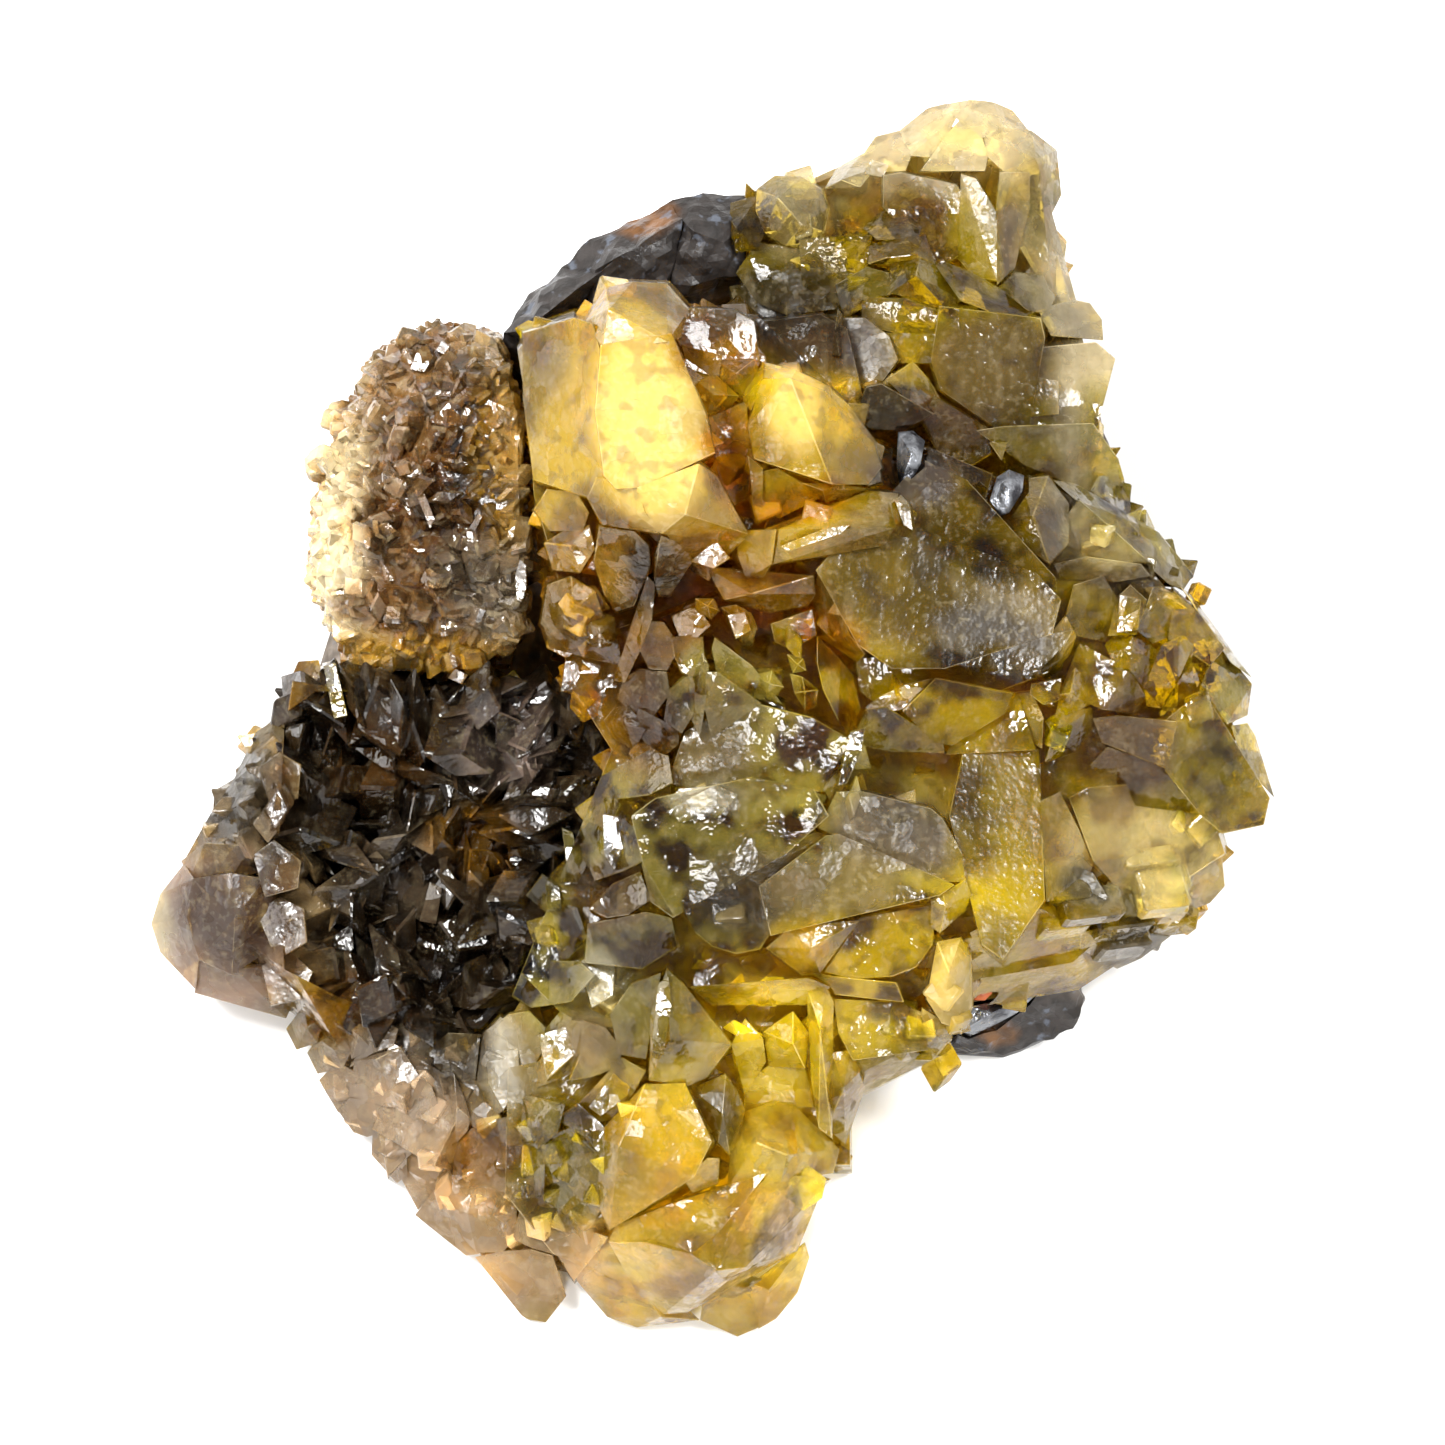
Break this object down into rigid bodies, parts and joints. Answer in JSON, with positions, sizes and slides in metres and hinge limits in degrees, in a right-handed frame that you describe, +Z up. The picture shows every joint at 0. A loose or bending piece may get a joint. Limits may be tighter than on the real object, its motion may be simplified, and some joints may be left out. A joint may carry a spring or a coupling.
{
  "type": "fluorite crystal cluster",
  "caption": "Yellow and grey-purple fluorite crystals grown together on a dark rock, with a brown blade-crystal cushion and a dark crystal-lined hollow. A display specimen.",
  "frame": {"origin": "middle of the bounding box's underside, in the plane that the flat underside of the rock rests on", "axes": "+Z up from the resting plane, +X towards the side with the clear and olive crystals, -Y towards the golden lower tip, so the crystal face looks up and a little towards -Y"},
  "size_m": [0.0788, 0.0828, 0.0403],
  "materials": {
    "matrix": "rough dark grey-black rock with blue-grey glints and a rust-orange patch",
    "fluorite": "clear to cloudy crystal, golden yellow, olive, grey-purple, lilac and peach by zone, glossy flat faces",
    "brown_druse": "small smoky brown blade crystals, paler at the outer rim",
    "smoky_crust": "small near-black smoky crystals",
    "silver": "blue-grey metallic mineral, rough cleavage faces",
    "rust": "matt rust-red grain"
  },
  "bodies": {
    "root": {"matrix": "matrix", "fluorite": "fluorite", "brown_druse": "brown_druse", "smoky_crust": "smoky_crust", "silver_grain_upper": "silver", "silver_grain_right": "silver", "silver_seam": "silver", "rust_grain": "rust"}
  },
  "joints": []
}
